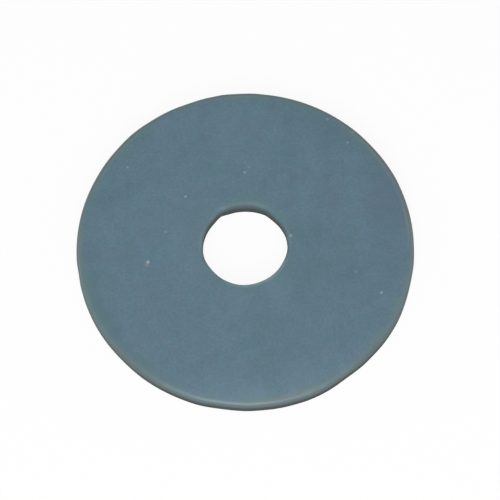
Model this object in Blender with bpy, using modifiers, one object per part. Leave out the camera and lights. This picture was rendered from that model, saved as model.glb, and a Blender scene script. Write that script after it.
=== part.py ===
"""Flush valve seal: a flat moulded rubber disc with a round hole for the valve's stem.

Metres, +Z up. The sealing face lies at Z = 0 and the disc's axis is the Z axis.
"""

import math

import bpy

# Driving dimensions, in metres
OUTER_DIAMETER = 0.0635
HOLE_DIAMETER = 0.016
THICKNESS = 0.0035
# Upper edges, where the rubber was rounded by the mould
RIM_EDGE_RADIUS = 0.0009
HOLE_EDGE_RADIUS = 0.0007
# Slight fall of the upper face over its outer margin
MARGIN_WIDTH = 0.004
MARGIN_FALL = 0.00018
# Lower edges, which stay crisp so that the whole face seals
RIM_SEAT_RADIUS = 0.0002
HOLE_SEAT_RADIUS = 0.0002

# Most of the section's shorter side that one edge round may take
LARGEST_ROUND = 0.49

# Fineness of the solid: facets round the axis, and across each upper and lower edge round
TURN_STEPS = 128
UPPER_STEPS = 6
LOWER_STEPS = 3

# Rubber finish
RUBBER_COLOUR = "#607886"
RUBBER_ROUGHNESS = 0.6


def clear_objects():
    """Empties the scene that is open."""
    for old in list(bpy.data.objects):
        bpy.data.objects.remove(old, do_unlink=True)


def linear_colour(hex_colour):
    """Turns an sRGB hex colour into the linear RGBA that shaders use."""
    channels = [int(hex_colour[i:i + 2], 16) / 255 for i in (1, 3, 5)]
    linear = [c / 12.92 if c <= 0.04045 else ((c + 0.055) / 1.055) ** 2.4 for c in channels]
    return (*linear, 1.0)


def moulded_rubber():
    """Matt slate blue rubber."""
    material = bpy.data.materials.new("moulded_rubber")
    material.use_nodes = True
    shader = material.node_tree.nodes["Principled BSDF"]
    shader.inputs["Base Color"].default_value = linear_colour(RUBBER_COLOUR)
    shader.inputs["Roughness"].default_value = RUBBER_ROUGHNESS
    shader.inputs["Metallic"].default_value = 0.0
    return material


def edge_round(x, z, radius, start, end, steps):
    """Points of an edge round about (x, z), turning clockwise between two angles in radians."""
    angles = [start + (end - start) * i / steps for i in range(steps + 1)]
    return [(x + radius * math.cos(angle), z + radius * math.sin(angle)) for angle in angles]


def edge_radii():
    """The four edge radii, none so large that two of them would meet across the section."""
    width = (OUTER_DIAMETER - HOLE_DIAMETER) / 2
    largest = LARGEST_ROUND * min(width, THICKNESS)
    radii = (RIM_EDGE_RADIUS, RIM_SEAT_RADIUS, HOLE_SEAT_RADIUS, HOLE_EDGE_RADIUS)
    return [min(radius, largest) for radius in radii]


def margin():
    """Points of the upper face's falling margin, and of the rim's round that runs on from it."""
    rim = OUTER_DIAMETER / 2
    edge = edge_radii()[0]
    slope = math.atan(MARGIN_FALL / MARGIN_WIDTH)
    start = (rim - MARGIN_WIDTH, THICKNESS)
    run = MARGIN_WIDTH - edge * (1 - math.sin(slope))
    centre = THICKNESS - run * math.tan(slope) - edge * math.cos(slope)
    return [start] + edge_round(rim - edge, centre, edge, math.pi / 2 - slope, 0, UPPER_STEPS)


def section():
    """Outline of the disc's section at +X: out over the margin, down the rim, in, and up the hole."""
    rim = OUTER_DIAMETER / 2
    hole = HOLE_DIAMETER / 2
    quarter = math.pi / 2
    rim_seat, hole_seat, hole_edge = edge_radii()[1:]
    points = margin()
    points += edge_round(rim - rim_seat, rim_seat, rim_seat, 0, -quarter, LOWER_STEPS)
    points += edge_round(hole + hole_seat, hole_seat, hole_seat, -quarter, -math.pi, LOWER_STEPS)
    points += edge_round(hole + hole_edge, THICKNESS - hole_edge, hole_edge, math.pi, quarter, UPPER_STEPS)
    return points


def seal_disc(collection):
    """The seal: its section turned once round the Z axis."""
    points = section()
    edges = [(i, (i + 1) % len(points)) for i in range(len(points))]
    mesh = bpy.data.meshes.new("seal_disc")
    mesh.from_pydata([(x, 0.0, z) for x, z in points], edges, [])
    mesh.materials.append(moulded_rubber())
    disc = bpy.data.objects.new("seal_disc", mesh)
    collection.objects.link(disc)
    turn = disc.modifiers.new("turned_section", "SCREW")
    turn.axis = "Z"
    turn.angle = math.tau
    turn.steps = TURN_STEPS
    turn.render_steps = TURN_STEPS
    turn.use_smooth_shade = True


def main():
    clear_objects()
    collection = bpy.data.collections.new("flush_valve_seal")
    bpy.context.scene.collection.children.link(collection)
    seal_disc(collection)


main()
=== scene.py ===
"""Looks of the flush valve seal: the moulded rubber disc, a white floor, soft light and the camera."""

import math

import bmesh
import bpy
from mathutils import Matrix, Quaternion, Vector


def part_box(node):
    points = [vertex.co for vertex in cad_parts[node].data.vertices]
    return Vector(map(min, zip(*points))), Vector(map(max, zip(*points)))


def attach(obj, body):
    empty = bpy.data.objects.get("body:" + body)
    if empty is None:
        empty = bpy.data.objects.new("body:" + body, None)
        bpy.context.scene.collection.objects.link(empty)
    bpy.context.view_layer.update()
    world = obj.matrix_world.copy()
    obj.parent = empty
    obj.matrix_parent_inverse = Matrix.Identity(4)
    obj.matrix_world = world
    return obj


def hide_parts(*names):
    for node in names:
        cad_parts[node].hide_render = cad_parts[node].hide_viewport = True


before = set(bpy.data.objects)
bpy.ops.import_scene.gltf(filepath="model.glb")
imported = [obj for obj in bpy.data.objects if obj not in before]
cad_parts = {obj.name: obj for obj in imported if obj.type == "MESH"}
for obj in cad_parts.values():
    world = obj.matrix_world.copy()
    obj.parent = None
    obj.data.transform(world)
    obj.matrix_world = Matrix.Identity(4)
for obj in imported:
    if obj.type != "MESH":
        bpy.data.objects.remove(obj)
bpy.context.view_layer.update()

MM = 0.001

# The seal's sizes, from the frame
LOWEST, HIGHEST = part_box("seal_disc")
RIM = HIGHEST.x
HEIGHT = HIGHEST.z
HOLE = min(math.hypot(v.co.x, v.co.y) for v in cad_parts["seal_disc"].data.vertices)

# Edge rounds of the moulding, and the slight fall of its upper skin towards the rim and the hole
RIM_ROUND = 0.9 * MM
HOLE_ROUND = 0.7 * MM
SEAT_ROUND = 0.2 * MM
RIM_SHOULDER = 4.5 * MM
RIM_FALL = 0.19 * MM
HOLE_SHOULDER = 3.0 * MM
HOLE_FALL = 0.04 * MM

# Unevenness of the two edges, in plan: the angle in degrees, how far the edge stands out from its
# circle there, and how much of the edge it takes along, both in millimetres
RIM_WAVES = (
    (23, 0.04, 3.0), (38, -0.045, 5.0), (66, 0.028, 12.0), (85.2, 0.05, 2.2), (95.2, 0.065, 2.4),
    (108, -0.085, 4.2), (130, 0.095, 5.0), (153, -0.028, 5.0), (188, -0.095, 3.0), (201, -0.03, 3.0),
    (207, -0.04, 4.0), (222, -0.20, 10.5), (237, -0.07, 4.5), (244, -0.09, 5.5), (260, -0.14, 5.4),
    (279, 0.07, 3.2), (289.5, 0.17, 7.5), (304.5, -0.12, 4.4), (321, 0.05, 3.5), (330, 0.185, 8.5),
    (342, 0.03, 3.0), (350, 0.085, 4.4),
)
HOLE_WAVES = (
    (16, 0.06, 1.8), (44, -0.08, 2.2), (88, -0.105, 4.0), (128, 0.08, 2.0), (182, -0.03, 2.0),
    (219, -0.065, 2.8), (260, 0.05, 2.4), (290, -0.05, 2.6), (308, -0.05, 2.6), (329, -0.07, 2.8),
)
# Kinks, where the hole's edge comes to a corner
HOLE_KINKS = ((60, 0.05, 0.8), (121, 0.25, 1.5), (198, 0.035, 1.0))

# Fineness of the mesh
SIDES = 420
FACE_RINGS = 46
ROUND_SEGMENTS = 10
WALL_CUTS = 3
EDGE_MARGIN = 1.6 * MM

# Tolerances for picking: for what lies on a circle, for what lies on an uneven wall, for the corners
# within half a side of an angle, and for upright edges, which are longer than those round the wall
NEAR = 0.001 * MM
WALL_REACH = 0.25 * MM
HALF_SIDE = 1.01 * math.pi / SIDES
UPRIGHT = HEIGHT / 3

# Marks on the upper face: place and reach in millimetres, and strength
POWDER_SPECKS = (
    (-21.75, 16.8, 0.38, 0.33), (0.56, 14.67, 0.40, 0.46), (-10.86, 10.19, 0.43, 0.52),
    (-18.27, -2.81, 0.48, 0.80), (24.94, -10.96, 0.40, 0.55), (20.47, 19.94, 0.40, 0.36),
    (16.92, 25.09, 0.45, 0.38), (8.68, 1.25, 0.50, 0.42), (20.47, -6.57, 0.46, 0.18),
    (-14.84, 3.10, 0.48, 0.22), (1.36, 15.72, 0.34, 0.20), (21.55, 22.05, 0.36, 0.40),
)
TAN_SMUDGES = ((-18.55, -3.30, 0.75, 0.42), (-15.5, -27.4, 1.0, 0.22))
OLIVE_STAINS = ((10.8, -30.0, 1.7, 0.24), (13.2, -29.0, 1.5, 0.18), (17.6, -26.6, 1.5, 0.16))
DARK_PITS = (
    (-8.77, -22.99, 0.50, 0.28), (-8.85, -23.99, 0.50, 0.34), (-8.95, -25.91, 0.45, 0.22),
    (-5.52, -27.01, 0.50, 0.26), (6.53, -29.28, 0.50, 0.28),
)
# Patches where the bloom is thin, some of them painted shade along the near rim's sides and beside
# the hole; and where it is thick, some of them a painted highlight along the near rim
THIN_BLOOM_AND_SHADE_PATCHES = (
    (15, -6, 15, 0.16), (27, 14, 10, 0.30), (20, 22, 8, 0.26), (29, -7, 8, 0.28), (29, 4, 8, 0.28),
    (-25.5, -12.5, 9, 0.22), (-27.9, -10.7, 3.2, 0.50), (-26.6, -13.4, 3.2, 0.62),
    (-24.9, -16.2, 3.2, 0.62), (-29.4, -5.5, 5, 0.38), (-29.5, -1.0, 5, 0.30),
    (-23.6, -20.0, 3.5, 0.35), (25.5, -16.5, 5, 0.25), (4, -17, 6, 0.10), (10.2, 0.5, 3, 0.20),
    (-8.6, 4.6, 6, 0.28), (9.0, 3.0, 3, 0.22), (-15.5, -26.5, 5, 0.10),
)
THICK_BLOOM_AND_HIGHLIGHT_PATCHES = (
    (-12, 2, 14, 0.12), (-4, 25, 16, 0.08), (-4, -29.5, 9, 0.20), (0, -30.6, 7, 0.36),
    (9, -26.5, 6, 0.16), (-1, -10, 6, 0.12), (5.0, -8.8, 5, 0.20), (7.8, -30.6, 4, 0.30),
    (-15.3, 26.4, 5, 0.15),
)
# Where the rim's margin leans to green
GREEN_PATCHES = ((-28, 12.5, 10, 0.6), (22, 21, 12, 0.5), (-22, -21, 12, 0.6))
# Along the lip of the hole: where painted shade darkens it, where it has a thin pale line, where a
# painted shine brightens it, and where it is worn pale
LIP_SHADE_SPOTS = ((0, 8.4, 9, 0.32), (8.4, 0, 5, 0.45), (-8.4, 0, 5, 0.15))
LIP_LINE = ((1.5, 8.4, 6.5, 0.14), (8.3, 1.2, 4.5, 0.10))
LIP_SHINE = ((-6.0, 5.9, 4.5, 0.26), (-7.9, 2.8, 4.0, 0.22), (-4.2, 7.1, 2.5, 0.18))
LIP_WEAR = (
    (0, -8.4, 9, 0.95), (4.2, -7.3, 5, 0.90), (6.4, -5.4, 5, 0.62), (-6.4, -5.4, 5, 0.35),
    (-8.4, 0, 5, 0.28), (8.6, 0.6, 4, 0.15),
)
# Along the rim: where a band of painted shade runs inside the edge, where painted shade darkens the
# edge, and where the edge is worn pale, with a painted highlight at the near rim
RIM_SHADE_SPOTS = (
    (-27.6, -11.7, 8, 0.60), (-24.6, -17.2, 8, 0.62), (-20.5, -21.9, 8, 0.60), (-15.5, -25.8, 6, 0.35),
)
EDGE_SHADE_SPOTS = ((-22.0, -23.0, 10, 0.45), (22.0, -23.0, 8, 0.30))
EDGE_WEAR_AND_HIGHLIGHT = (
    (26.0, 17.0, 17, 0.45), (0.0, 31.0, 14, 0.30), (-24.0, 19.0, 13, 0.35), (31.0, 4.0, 8, 0.45),
    (-31.4, 1.5, 6, 0.30), (6.5, -30.5, 7, 0.25),
)

# Bands beside the rim and the hole: how many millimetres from the edge, over the rubber, each one
# starts to show and shows in full
EDGE_BANDS = (
    ("rim_side", "rim", 0.7, 0.1), ("hole_side", "hole", 0.7, 0.1),
    ("rim_edge", "rim", 1.3, 0.3), ("hole_edge", "hole", 0.9, 0.25),
    ("rim_margin", "rim", 2.6, 0.8), ("hole_margin", "hole", 2.4, 0.7),
    ("rim_rise", "rim", 1.4, 1.0), ("rim_drop", "rim", 0.55, 0.95),
    ("hole_rise", "hole", 0.85, 0.55), ("hole_drop", "hole", 0.1, 0.35),
    # The shade band inside the rim carries painted shade
    ("shade_band_rise", "rim", 2.8, 2.1), ("shade_band_drop", "rim", 0.7, 1.3),
    ("rim_lip", "rim", 0.9, 0.5), ("hole_lip", "hole", 0.6, 0.15),
)
# Painted shade on the walls, over their greyer rubber, starts this many millimetres below the skin.
WALL_START = 0.22
# The rest are shares of the height; the last two place the painted shadow along the base of the walls.
WALL_FULL = 0.45
FOOT_START = 0.3
FOOT_FULL = 0.05

# Patterns of the skin: millimetres that one blotch covers, detail and roughness. A mould's own grain
# is finer, and is drawn this coarse so that it shows.
PATTERNS = (
    ("clouds", 11.0, 2.0, 0.45), ("mottle", 8.0, 4.0, 1.0), ("blotches", 6.0, 3.0, 0.7),
    ("grain", 0.5, 2.0, 0.8),
)

# Colours of the rubber, its bloom, its edges and its marks
SLATE = "#5c7b8c"
CLOUDY = "#6b8796"
TEAL = "#457b7c"
VIOLET = "#626c85"
# Bare rubber, also painted shade in some of the thin patches
BARE_RUBBER_AND_SHADE = "#475f6c"
# Pale bloom, also a painted highlight along the near rim
BLOOM_AND_HIGHLIGHT = "#6f8b9a"
MARGIN_GREEN = "#5a7572"
EDGE_GREY = "#607376"
# Painted shade for a band inside the rim and for the rim's edge
RIM_BAND_PAINTED_SHADE = "#4a6972"
EDGE_PAINTED_SHADE = "#4b5953"
PALE_EDGE = "#76827f"
PALE_LINE = "#6e8183"
RIM_LIP = "#585e61"
# Painted shade on the hole's lip
HOLE_LIP_PAINTED_SHADE = "#5b5b61"
# Painted shine on the hole's lip, also the colour of its thin pale line
HOLE_SHINE = "#8e9c98"
HOLE_WEAR = "#94a9ac"
OLIVE = "#7f8f7c"
# Greyer rubber of the walls with painted shade down them, and a painted shadow along their base
WALL_GREY_AND_PAINTED_SHADE = "#44514f"
FOOT_PAINTED_SHADOW = "#2c3533"
PIT = "#3c4c52"
TAN = "#8f877a"
POWDER = "#a9bcc8"

# Gloss of the rubber: the shader's socket, and its level on the skin, the hole's edge and the walls
GLOSS = (("Roughness", 0.42, 0.62, 0.7), ("Specular IOR Level", 0.5, 0.35, 0.12))
RUBBER_IOR = 1.5

# Relief of the skin: the grain's share beside the blotches, the bump's strength and its depth
GRAIN_RELIEF = 0.5
BUMP_STRENGTH = 0.5
BUMP_DEPTH = 0.02 * MM

# The floor and the room: the board's size in metres, its grey in the light that it gives back, how
# much of what the eye sees of it is plain white, and the room's own light
FLOOR_SIZE = 6.0
FLOOR_GREY = "#a8a8a8"
FLOOR_WHITENESS = 0.92
WHITE = "#ffffff"
ROOM_LIGHT = 0.25

# Soft lights: place, width and depth in metres, and watts
SOFTBOXES = (
    ("overhead_softbox", (0.0, -0.15, 0.9), 0.9, 0.7, 2.1),
    ("near_softbox", (-0.06, -0.62, 0.40), 0.55, 0.44, 4.2),
    ("left_softbox", (-0.68, 0.2, 0.2), 0.3, 0.2, 0.6),
    ("right_softbox", (0.68, 0.2, 0.2), 0.3, 0.2, 0.6),
)

# The camera, from the photograph's view. Its lens and sensor are in millimetres, as Blender takes
# them, and the nearest and farthest that it sees are in metres.
VIEW_DISTANCE = 370 * MM
VIEW_ELEVATION = math.radians(68.25)
VIEW_ROLL = math.radians(-2.55)
VIEW_CENTRE = Vector((0.898 * MM, 0.121 * MM, 0.0))
LENS = 140.69
SENSOR_WIDTH = 36.0
NEAREST = 0.01
FARTHEST = 20.0


def linear(hex_colour):
    """Turns an sRGB hex colour into the linear RGBA that shaders use."""
    channels = [int(hex_colour[i:i + 2], 16) / 255 for i in (1, 3, 5)]
    return [c / 12.92 if c <= 0.04045 else ((c + 0.055) / 1.055) ** 2.4 for c in channels] + [1.0]


def add(tree, kind, inputs=None, **settings):
    """Adds a node with its settings. Its inputs are given as values or as the outputs that feed them."""
    new = tree.nodes.new("ShaderNode" + kind)
    for name, value in settings.items():
        setattr(new, name, value)
    for socket, value in (inputs or {}).items():
        if isinstance(value, bpy.types.NodeSocket):
            tree.links.new(value, new.inputs[socket])
        else:
            new.inputs[socket].default_value = value
    return new


def blank_material(name):
    """A material with an empty node tree."""
    material = bpy.data.materials.new(name)
    material.use_nodes = True
    material.node_tree.nodes.clear()
    return material, material.node_tree


# Modelling of the seal

def pick(piece, mode, wanted):
    """In edit mode, selects each vertex, edge or face all of whose corners pass the test."""
    bpy.ops.mesh.select_mode(type=mode)
    bpy.ops.mesh.select_all(action="DESELECT")
    shape = bmesh.from_edit_mesh(piece.data)
    parts = {"VERT": shape.verts, "EDGE": shape.edges, "FACE": shape.faces}[mode]
    for part in parts:
        corners = [part] if mode == "VERT" else part.verts
        if all(wanted(corner.co) for corner in corners):
            part.select_set(True)
    shape.select_flush_mode()
    bmesh.update_edit_mesh(piece.data)


def on_circle(radius, height):
    """A test for points on the circle of that radius and height about the seal's axis."""
    return lambda co: abs(math.hypot(co.x, co.y) - radius) < NEAR and abs(co.z - height) < NEAR


def skin_height(radius):
    """Height of the upper skin at a radius: level, with a slight fall towards the rim and the hole."""
    outer = max(0.0, 1 - (RIM - radius) / RIM_SHOULDER)
    inner = max(0.0, 1 - (radius - HOLE) / HOLE_SHOULDER)
    return HEIGHT - RIM_FALL * outer ** 2 - HOLE_FALL * inner ** 2


def seat_height(radius):
    """Height of the sealing face, which is the same at every radius."""
    return 0.0


def start_disc():
    """A plain disc of the seal's outer size, lying on its sealing face."""
    tall = skin_height(RIM)
    bpy.ops.object.select_all(action="DESELECT")
    bpy.ops.mesh.primitive_cylinder_add(
        vertices=SIDES, radius=RIM, depth=tall, end_fill_type="NGON", location=(0, 0, tall / 2)
    )
    disc = bpy.context.object
    disc.name = "rubber_seal"
    disc.data.name = "rubber_seal"
    bpy.ops.object.transform_apply(location=True, rotation=True, scale=True)
    return disc


def ring_face(disc, face_height):
    """Insets one end of the disc in rings down to the hole, each raised or sunk to that face's height."""
    start = face_height(RIM)
    pick(disc, "FACE", lambda co: abs(co.z - start) < NEAR)
    inner, outer = HOLE + EDGE_MARGIN, RIM - EDGE_MARGIN
    radii = [RIM] + [outer + (inner - outer) * i / FACE_RINGS for i in range(FACE_RINGS + 1)] + [HOLE]
    for last, radius in zip(radii, radii[1:]):
        rise = face_height(radius) - face_height(last)
        bpy.ops.mesh.inset(thickness=last - radius, depth=rise, use_even_offset=False)


def round_edge(disc, radius, height, size):
    """Rounds the edge that runs along one circle."""
    pick(disc, "EDGE", on_circle(radius, height))
    bpy.ops.mesh.bevel(offset=size, segments=ROUND_SEGMENTS, profile=0.5, affect="EDGES")


def cut_wall(disc, radius):
    """Cuts the wall at one radius into bands, by subdividing its upright edges."""
    pick(disc, "EDGE", lambda co: abs(math.hypot(co.x, co.y) - radius) < NEAR)
    shape = bmesh.from_edit_mesh(disc.data)
    for edge in shape.edges:
        if edge.calc_length() < UPRIGHT:
            edge.select_set(False)
    bmesh.update_edit_mesh(disc.data)
    bpy.ops.mesh.subdivide(number_cuts=WALL_CUTS)


def stand_out(disc, radius, falloff, degrees, amount, reach):
    """Moves the edge at one angle outward from the axis, and takes along what lies within reach."""
    angle = math.radians(degrees)
    outward = Vector((math.cos(angle), math.sin(angle), 0.0))

    def on_wall(co):
        off = math.remainder(math.atan2(co.y, co.x) - angle, math.tau)
        return abs(co.xy.length - radius) < WALL_REACH and abs(off) < HALF_SIDE

    pick(disc, "VERT", on_wall)
    bpy.ops.transform.translate(
        value=outward * amount, use_proportional_edit=True, proportional_edit_falloff=falloff,
        proportional_size=reach
    )


def rubber_seal():
    """The seal in full: ringed faces, a bridged hole, rounded edges, and the unevenness of its outline."""
    disc = start_disc()
    bpy.ops.object.mode_set(mode="EDIT")
    ring_face(disc, skin_height)
    ring_face(disc, seat_height)
    pick(disc, "FACE", lambda co: math.hypot(co.x, co.y) < HOLE + NEAR)
    bpy.ops.mesh.bridge_edge_loops()
    for radius, upper_round in ((RIM, RIM_ROUND), (HOLE, HOLE_ROUND)):
        round_edge(disc, radius, skin_height(radius), upper_round)
        round_edge(disc, radius, seat_height(radius), SEAT_ROUND)
        cut_wall(disc, radius)
    for radius, falloff, places in (
        (RIM, "SMOOTH", RIM_WAVES), (HOLE, "SMOOTH", HOLE_WAVES), (HOLE, "LINEAR", HOLE_KINKS)
    ):
        for degrees, amount, reach in places:
            stand_out(disc, radius, falloff, degrees, amount * MM, reach * MM)
    bpy.ops.object.mode_set(mode="OBJECT")
    bpy.ops.object.shade_smooth()
    return disc


# Materials

def skin_masks(tree, place):
    """Masks by distance from the seal's axis and by height, in a dictionary. Places are in millimetres."""
    flat = add(tree, "VectorMath", {0: place, 1: (1, 1, 0)}, operation="MULTIPLY").outputs[0]
    radius = add(tree, "VectorMath", {0: flat}, operation="LENGTH").outputs["Value"]
    height = add(tree, "SeparateXYZ", {0: place}).outputs["Z"]
    edges = {"rim": (RIM / MM, -1), "hole": (HOLE / MM, 1)}
    top = HEIGHT / MM
    masks = {}
    for name, edge, start, full in EDGE_BANDS:
        at, inward = edges[edge]
        band = add(tree, "MapRange", {
            "Value": radius, "From Min": at + inward * start, "From Max": at + inward * full,
        }, interpolation_type="SMOOTHSTEP")
        masks[name] = band.outputs[0]
    for name in ("rim", "hole", "shade_band"):
        line = add(tree, "Math", {0: masks[name + "_rise"], 1: masks[name + "_drop"]}, operation="MULTIPLY")
        masks[name + "_line"] = line.outputs[0]
    side = add(tree, "Math", {0: masks["rim_side"], 1: masks["hole_side"]}, operation="ADD").outputs[0]
    # The walls' mask also carries painted shade, and the mask along their base a painted shadow.
    for name, start, full in (
        ("wall", top - WALL_START, top * WALL_FULL), ("foot", top * FOOT_START, top * FOOT_FULL)
    ):
        below = add(tree, "MapRange", {"Value": height, "From Min": start, "From Max": full}).outputs[0]
        masks[name] = add(tree, "Math", {0: side, 1: below}, operation="MULTIPLY").outputs[0]
    return masks


def spots(tree, place, marks):
    """A mask of soft spots about places on the upper face, each as strong as its mark says."""
    total = None
    for x, y, reach, strength in marks:
        away = add(tree, "VectorMath", {0: place, 1: (x, y, HEIGHT / MM)}, operation="DISTANCE")
        spot = add(tree, "MapRange", {
            "Value": away.outputs["Value"], "From Min": reach, "From Max": 0, "To Max": strength,
        }, interpolation_type="SMOOTHSTEP")
        if total is None:
            total = spot.outputs[0]
        else:
            total = add(tree, "Math", {0: total, 1: spot.outputs[0]}, operation="MAXIMUM").outputs[0]
    return total


def skin_layers(tree, place, patterns):
    """What lies over the slate of the skin, from below: a share, as a mask, and a colour."""
    layers = []
    for pattern, start, full, most, shade in (
        ("clouds", 0.35, 0.70, 0.22, CLOUDY), ("blotches", 0.48, 0.70, 0.40, TEAL),
        ("blotches", 0.50, 0.30, 0.34, VIOLET), ("mottle", 0.30, 0.70, 0.56, BARE_RUBBER_AND_SHADE),
        ("grain", 0.30, 0.70, 0.40, BARE_RUBBER_AND_SHADE),
    ):
        share = add(tree, "MapRange", {
            "Value": patterns[pattern], "From Min": start, "From Max": full, "To Max": most,
        })
        layers.append((share.outputs[0], shade))
    # Thin patches, some of them painted shade
    layers.append((spots(tree, place, THIN_BLOOM_AND_SHADE_PATCHES), BARE_RUBBER_AND_SHADE))
    # Thick patches, some of them a painted highlight along the near rim
    layers.append((spots(tree, place, THICK_BLOOM_AND_HIGHLIGHT_PATCHES), BLOOM_AND_HIGHLIGHT))
    return layers


def edge_layers(tree, place, masks, patterns):
    """What lies over the margins, edges and lips, from below: a share, as a mask, and a colour."""
    patchy = add(tree, "MapRange", {
        "Value": patterns["blotches"], "From Min": 0.44, "From Max": 0.58, "To Max": 0.6,
    }).outputs[0]
    green = spots(tree, place, GREEN_PATCHES)
    greener = add(tree, "Math", {0: patchy, 1: green}, operation="MAXIMUM").outputs[0]
    pale = spots(tree, place, EDGE_WEAR_AND_HIGHLIGHT)
    layers = []
    for band, share, shade in (
        ("rim_margin", greener, MARGIN_GREEN), ("hole_margin", 0.22, MARGIN_GREEN),
        # Painted shade inside the rim and on its edge; pale wear on the edge, with a painted highlight at
        # the near rim
        ("rim_edge", 0.65, EDGE_GREY), ("shade_band_line", spots(tree, place, RIM_SHADE_SPOTS), RIM_BAND_PAINTED_SHADE),
        ("rim_edge", spots(tree, place, EDGE_SHADE_SPOTS), EDGE_PAINTED_SHADE), ("rim_edge", pale, PALE_EDGE),
        ("rim_line", pale, PALE_LINE), ("rim_lip", pale, RIM_LIP),
        # Painted shade on the hole's lip
        ("hole_lip", spots(tree, place, LIP_SHADE_SPOTS), HOLE_LIP_PAINTED_SHADE),
        ("hole_line", spots(tree, place, LIP_LINE), HOLE_SHINE),
        # Painted shine on the hole's far lip
        ("hole_lip", spots(tree, place, LIP_SHINE), HOLE_SHINE),
        ("hole_edge", spots(tree, place, LIP_WEAR), HOLE_WEAR),
    ):
        part = add(tree, "Math", {0: masks[band], 1: share}, operation="MULTIPLY")
        layers.append((part.outputs[0], shade))
    return layers


def moulded_rubber():
    """Slate blue rubber, compression moulded.

    The eye sees a matt skin under a cloudy bloom, thick in places and thin in others, a fine grain,
    duller and greyer margins and walls, and a few pale specks such as dusting powder leaves. Painted
    shade darkens the walls downwards, with a painted shadow along their base, and parts of the rim and
    the hole's lip; a painted highlight brightens the near rim, and a painted shine the hole's far lip.
    """
    material, tree = blank_material("moulded_rubber")
    metres = add(tree, "TexCoord").outputs["Object"]
    place = add(tree, "VectorMath", {0: metres, "Scale": 1 / MM}, operation="SCALE").outputs[0]
    masks = skin_masks(tree, place)
    patterns = {}
    for name, size, detail, roughness in PATTERNS:
        pattern = add(tree, "TexNoise", {
            "Vector": place, "Scale": 1 / size, "Detail": detail, "Roughness": roughness,
        })
        patterns[name] = pattern.outputs[0]

    layers = skin_layers(tree, place, patterns)
    layers += edge_layers(tree, place, masks, patterns)
    layers += [
        # After the olive stains: painted shade on the walls, and a painted shadow along their base
        (spots(tree, place, OLIVE_STAINS), OLIVE), (masks["wall"], WALL_GREY_AND_PAINTED_SHADE), (masks["foot"], FOOT_PAINTED_SHADOW),
        (spots(tree, place, DARK_PITS), PIT), (spots(tree, place, TAN_SMUDGES), TAN),
        (spots(tree, place, POWDER_SPECKS), POWDER),
    ]
    colour = linear(SLATE)
    for share, shade in layers:
        # Of a Mix node for colours, 0 is the factor, 6 and 7 are the colours and output 2 the result
        colour = add(tree, "Mix", {0: share, 6: colour, 7: linear(shade)}, data_type="RGBA").outputs[2]

    gloss = {}
    for socket, skin, hole_edge, wall in GLOSS:
        level = add(tree, "MapRange", {"Value": masks["hole_edge"], "To Min": skin, "To Max": hole_edge})
        level = add(tree, "MapRange", {"Value": masks["wall"], "To Min": level.outputs[0], "To Max": wall})
        gloss[socket] = level.outputs[0]
    relief = add(tree, "Math", {0: patterns["grain"], 1: GRAIN_RELIEF}, operation="MULTIPLY").outputs[0]
    relief = add(tree, "Math", {0: patterns["blotches"], 1: relief}, operation="ADD").outputs[0]
    bump = add(tree, "Bump", {"Height": relief, "Strength": BUMP_STRENGTH, "Distance": BUMP_DEPTH})
    shader = add(tree, "BsdfPrincipled", {
        "Base Color": colour, "IOR": RUBBER_IOR, "Normal": bump.outputs[0], **gloss,
    })
    add(tree, "OutputMaterial", {"Surface": shader.outputs["BSDF"]})
    return material


def seen_directly(tree):
    """A mask for what the eye sees, straight on, in a reflection or through something clear."""
    path = add(tree, "LightPath").outputs
    seen = add(tree, "Math", {0: path["Is Camera Ray"], 1: path["Is Glossy Ray"]}, operation="MAXIMUM")
    seen = add(tree, "Math", {0: seen.outputs[0], 1: path["Is Transmission Ray"]}, operation="MAXIMUM")
    return seen.outputs[0]


def white_floor():
    """Matt white board: it shows white to the eye, and keeps a faint shadow."""
    material, tree = blank_material("white_board")
    seen = seen_directly(tree)
    share = add(tree, "Math", {0: seen, 1: FLOOR_WHITENESS}, operation="MULTIPLY").outputs[0]
    paint = add(tree, "Mix", {0: seen, 6: linear(FLOOR_GREY), 7: linear(WHITE)}, data_type="RGBA")
    board = add(tree, "BsdfDiffuse", {"Color": paint.outputs[2]}).outputs[0]
    white = add(tree, "Emission", {"Color": linear(WHITE), "Strength": 1.0}).outputs[0]
    mixed = add(tree, "MixShader", {0: share, 1: board, 2: white})
    add(tree, "OutputMaterial", {"Surface": mixed.outputs[0]})
    return material


# Stage, light and camera

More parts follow.
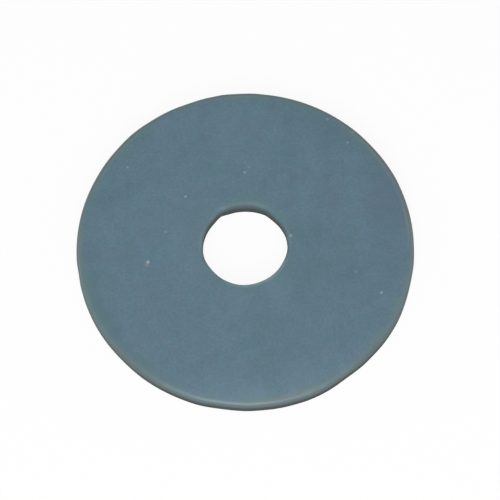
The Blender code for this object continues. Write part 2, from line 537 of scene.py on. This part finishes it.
def floor():
    """The board that the seal lies on."""
    bpy.ops.object.select_all(action="DESELECT")
    bpy.ops.mesh.primitive_plane_add(size=FLOOR_SIZE, location=(0, 0, 0))
    board = bpy.context.object
    board.name = "floor"
    board.data.materials.append(white_floor())


def softbox(name, place, width, depth, watts):
    """A rectangular soft light aimed at the seal."""
    light = bpy.data.lights.new(name, "AREA")
    light.shape = "RECTANGLE"
    light.size = width
    light.size_y = depth
    light.energy = watts
    lamp = bpy.data.objects.new(name, light)
    lamp.location = place
    lamp.rotation_euler = (-Vector(place)).to_track_quat("-Z", "Y").to_euler()
    bpy.context.scene.collection.objects.link(lamp)


def studio():
    """Soft light from above, from the near side and from both sides, in a pale room."""
    for light in SOFTBOXES:
        softbox(*light)
    world = bpy.data.worlds.new("pale_room")
    world.use_nodes = True
    bpy.context.scene.world = world
    tree = world.node_tree
    tree.nodes.clear()
    seen = seen_directly(tree)
    white = add(tree, "Background", {"Color": linear(WHITE), "Strength": 1.0})
    fill = add(tree, "Background", {"Color": linear(WHITE), "Strength": ROOM_LIGHT})
    mixed = add(tree, "MixShader", {0: seen, 1: fill.outputs[0], 2: white.outputs[0]})
    add(tree, "OutputWorld", {"Surface": mixed.outputs[0]})


def camera():
    """The photograph's view: from the near side and high up, a little turned."""
    back = Vector((0.0, -math.cos(VIEW_ELEVATION), math.sin(VIEW_ELEVATION)))
    turn = (-back).to_track_quat("-Z", "Y") @ Quaternion((0, 0, 1), VIEW_ROLL)
    data = bpy.data.cameras.new("photo_camera")
    data.lens = LENS
    data.sensor_width = SENSOR_WIDTH
    data.clip_start = NEAREST
    data.clip_end = FARTHEST
    eye = bpy.data.objects.new("photo_camera", data)
    eye.location = back * VIEW_DISTANCE + turn @ VIEW_CENTRE
    eye.rotation_mode = "QUATERNION"
    eye.rotation_quaternion = turn
    bpy.context.scene.collection.objects.link(eye)
    bpy.context.scene.camera = eye


def dress():
    """Puts the finished seal in the place of its plain solid."""
    seal = rubber_seal()
    seal.data.materials.append(moulded_rubber())
    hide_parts("seal_disc")
    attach(seal, "root")


camera()
dress()
floor()
studio()
bpy.context.scene.view_settings.view_transform = "Standard"
